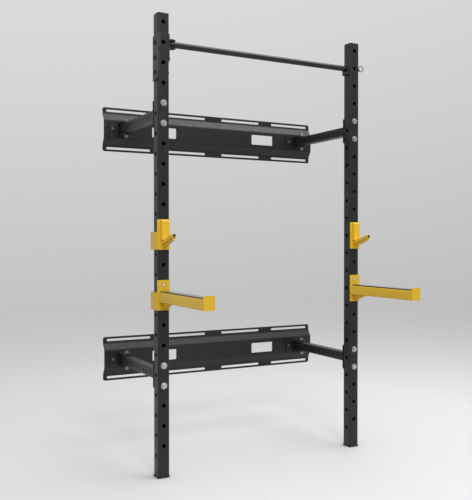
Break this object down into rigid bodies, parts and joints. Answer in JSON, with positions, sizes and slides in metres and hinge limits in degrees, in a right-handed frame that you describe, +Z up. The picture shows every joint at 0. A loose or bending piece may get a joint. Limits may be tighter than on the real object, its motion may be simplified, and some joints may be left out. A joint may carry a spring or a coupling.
{
  "type": "folding wall-mounted squat rack",
  "caption": "Wall-mounted squat rack whose two hinged uprights fold sideways against the wall, with pull-up bar, bar cups and spotter arms.",
  "frame": {"origin": "wall face of the lower stringer's top flange, on the rack's middle plane, between its two middle slots", "axes": "+Z up, +Y into the wall, +X to the right seen from the front"},
  "size_m": [1.39, 1.15, 2.3043],
  "materials": {
    "black_steel": "black satin powder coat, finely textured",
    "yellow_steel": "golden yellow satin powder coat",
    "red_steel": "dark red satin paint",
    "zinc_steel": "bright zinc plate",
    "black_rubber": "matt",
    "black_plastic": "matt moulded"
  },
  "bodies": {
    "wall_frame": {"upper_stringer": "black_steel", "left_upper_hinge_bracket": "black_steel", "left_upper_pivot_bolt": "zinc_steel", "left_upper_pivot_nut": "zinc_steel", "left_upper_bracket_bolt_outer": "zinc_steel", "left_upper_bracket_bolt_inner": "zinc_steel", "right_upper_hinge_bracket": "black_steel", "right_upper_pivot_bolt": "zinc_steel", "right_upper_pivot_nut": "zinc_steel", "right_upper_bracket_bolt_outer": "zinc_steel", "right_upper_bracket_bolt_inner": "zinc_steel", "lower_stringer": "black_steel", "left_lower_hinge_bracket": "black_steel", "left_lower_pivot_bolt": "zinc_steel", "left_lower_pivot_nut": "zinc_steel", "left_lower_bracket_bolt_outer": "zinc_steel", "left_lower_bracket_bolt_inner": "zinc_steel", "right_lower_hinge_bracket": "black_steel", "right_lower_pivot_bolt": "zinc_steel", "right_lower_pivot_nut": "zinc_steel", "right_lower_bracket_bolt_outer": "zinc_steel", "right_lower_bracket_bolt_inner": "zinc_steel"},
    "left_gate": {"left_upright": "black_steel", "left_top_cap": "black_plastic", "left_foot_cap": "black_plastic", "left_upper_arm": "black_steel", "left_upper_arm_bolt_top": "zinc_steel", "left_upper_arm_bolt_bottom": "zinc_steel", "left_lower_arm": "black_steel", "left_lower_arm_bolt_top": "zinc_steel", "left_lower_arm_bolt_bottom": "zinc_steel", "left_bar_clevis": "black_steel", "bar_pivot_pin": "red_steel", "left_outer_plate": "black_steel", "outer_plate_bolt_top": "black_steel", "outer_plate_bolt_middle": "black_steel", "outer_plate_bolt_bottom": "red_steel"},
    "left_j_cup": {"left_j_cup": "yellow_steel", "left_j_cup_tip": "black_rubber"},
    "left_spotter": {"left_spotter_arm": "yellow_steel", "left_spotter_liner": "black_rubber"},
    "right_gate": {"right_upright": "black_steel", "right_top_cap": "black_plastic", "right_foot_cap": "black_plastic", "right_upper_arm": "black_steel", "right_upper_arm_bolt_top": "zinc_steel", "right_upper_arm_bolt_bottom": "zinc_steel", "right_lower_arm": "black_steel", "right_lower_arm_bolt_top": "zinc_steel", "right_lower_arm_bolt_bottom": "zinc_steel", "right_bar_saddle": "black_steel", "saddle_bolt": "black_steel"},
    "right_j_cup": {"right_j_cup": "yellow_steel", "right_j_cup_tip": "black_rubber"},
    "right_spotter": {"right_spotter_arm": "yellow_steel", "right_spotter_liner": "black_rubber"},
    "pull_up_bar": {"pull_up_bar": "black_steel"},
    "ring_pin": {"ring_pin": "black_steel", "pull_ring": "black_steel"}
  },
  "joints": [
    {"name": "left_gate_fold", "type": "hinge", "parent": "wall_frame", "child": "left_gate", "pos_m": [-0.585, -0.087, 0], "axis": [0, 0, 1], "range_deg": [-90, 0]},
    {"name": "right_gate_fold", "type": "hinge", "parent": "wall_frame", "child": "right_gate", "pos_m": [0.585, -0.087, 0], "axis": [0, 0, 1], "range_deg": [0, 90]},
    {"name": "bar_turn", "type": "hinge", "parent": "left_gate", "child": "pull_up_bar", "pos_m": [-0.527, -0.605, 1.544], "axis": [0, 0, 1], "range_deg": [0, 90]},
    {"name": "ring_pin_pull", "type": "slide", "parent": "right_gate", "child": "ring_pin", "axis": [1, 0, 0], "range_m": [0, 0.09]},
    {"name": "left_j_cup_turn", "type": "hinge", "parent": "left_gate", "child": "left_j_cup", "pos_m": [-0.585, -0.605, 0.644], "axis": [0, 1, 0], "range_deg": [0, 90]},
    {"name": "left_spotter_turn", "type": "hinge", "parent": "left_gate", "child": "left_spotter", "pos_m": [-0.585, -0.605, 0.344], "axis": [0, 1, 0], "range_deg": [0, 90]},
    {"name": "right_j_cup_turn", "type": "hinge", "parent": "right_gate", "child": "right_j_cup", "pos_m": [0.585, -0.605, 0.644], "axis": [0, -1, 0], "range_deg": [0, 90]},
    {"name": "right_spotter_turn", "type": "hinge", "parent": "right_gate", "child": "right_spotter", "pos_m": [0.585, -0.605, 0.344], "axis": [0, -1, 0], "range_deg": [0, 90]}
  ],
  "couplings": [
    {"joint": "bar_turn", "follows": "left_gate_fold", "ratio": -1}
  ]
}
